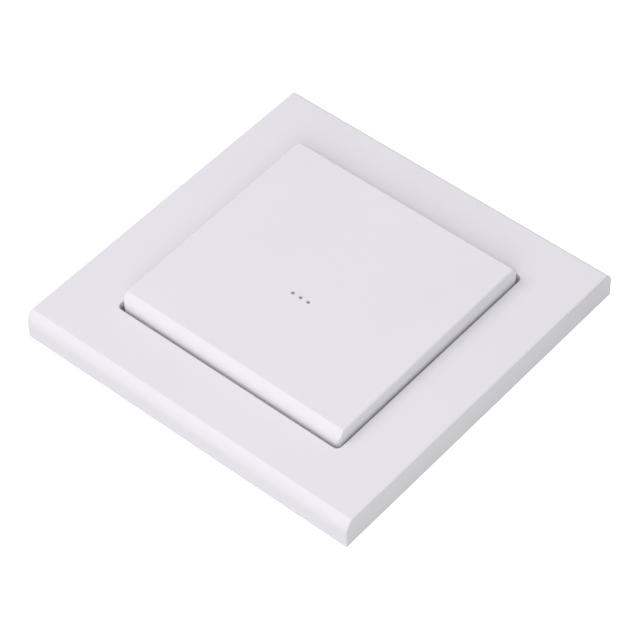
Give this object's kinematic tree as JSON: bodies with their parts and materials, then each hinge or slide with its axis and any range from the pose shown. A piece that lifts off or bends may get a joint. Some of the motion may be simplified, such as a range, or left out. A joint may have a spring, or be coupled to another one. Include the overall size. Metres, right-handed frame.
{
  "type": "wireless remote wall switch",
  "caption": "Square surface-mounted wall switch with a wide raised rocker that tilts both ways and springs back, sending its presses by radio from a coin cell.",
  "frame": {"origin": "centre of the back, on the wall plane", "axes": "+Z out of the wall towards the user, +Y up the wall, +X along the rocker's tilt axis"},
  "size_m": [0.08, 0.08, 0.0105],
  "materials": {
    "white_plastic": "moulded, satin, very fine grain, cool white",
    "pale_plastic": "moulded, matt, grey white",
    "clear_plastic": "clear moulded polycarbonate",
    "screw_steel": "zinc plated",
    "board_laminate": "green solder resist over glass laminate",
    "dark_plastic": "black, matt",
    "key_plastic": "black, satin",
    "cell_steel": "nickel plated, spun",
    "contact_metal": "gold flashed bronze strip",
    "tin_plate": "tinned",
    "lamp_resin": "cloudy resin",
    "chip_resin": "moulded epoxy",
    "copper_wire": "enamelled copper",
    "capacitor_ceramic": "fired ceramic"
  },
  "bodies": {
    "base": {"cover_frame": "white_plastic", "light_guide": "clear_plastic", "wall_plate": "pale_plastic", "case_tray": "pale_plastic", "case_cover": "pale_plastic", "case_screws": "screw_steel", "circuit_board": "board_laminate", "battery_holder": "dark_plastic", "coin_cell": "cell_steel", "positive_contact": "contact_metal", "negative_contact": "contact_metal", "on_switch_body": "dark_plastic", "on_switch_cover": "tin_plate", "off_switch_body": "dark_plastic", "off_switch_cover": "tin_plate", "switch_legs": "tin_plate", "status_lamp": "lamp_resin", "encoder_chip": "chip_resin", "chip_leads": "tin_plate", "radio_resonator": "tin_plate", "radio_transistor": "chip_resin", "aerial_coil": "copper_wire", "chip_resistors": "chip_resin", "chip_capacitors": "capacitor_ceramic"},
    "rocker": {"rocker": "white_plastic"},
    "on_plunger": {"on_switch_plunger": "key_plastic"},
    "off_plunger": {"off_switch_plunger": "key_plastic"}
  },
  "joints": [
    {"name": "rocker_tilt", "type": "hinge", "parent": "base", "child": "rocker", "pos_m": [0, 0, 0.0044], "axis": [1, 0, 0], "range_deg": [-2, 2], "stiffness_Nm_per_rad": 0.4},
    {"name": "on_press", "type": "slide", "parent": "base", "child": "on_plunger", "axis": [0, 0, 1], "range_m": [-0.000405, 0.000405]},
    {"name": "off_press", "type": "slide", "parent": "base", "child": "off_plunger", "axis": [0, 0, 1], "range_m": [-0.000405, 0.000405]}
  ],
  "couplings": [
    {"joint": "on_press", "follows": "rocker_tilt", "m_per_rad": 0.011478},
    {"joint": "off_press", "follows": "rocker_tilt", "m_per_rad": -0.011478}
  ]
}
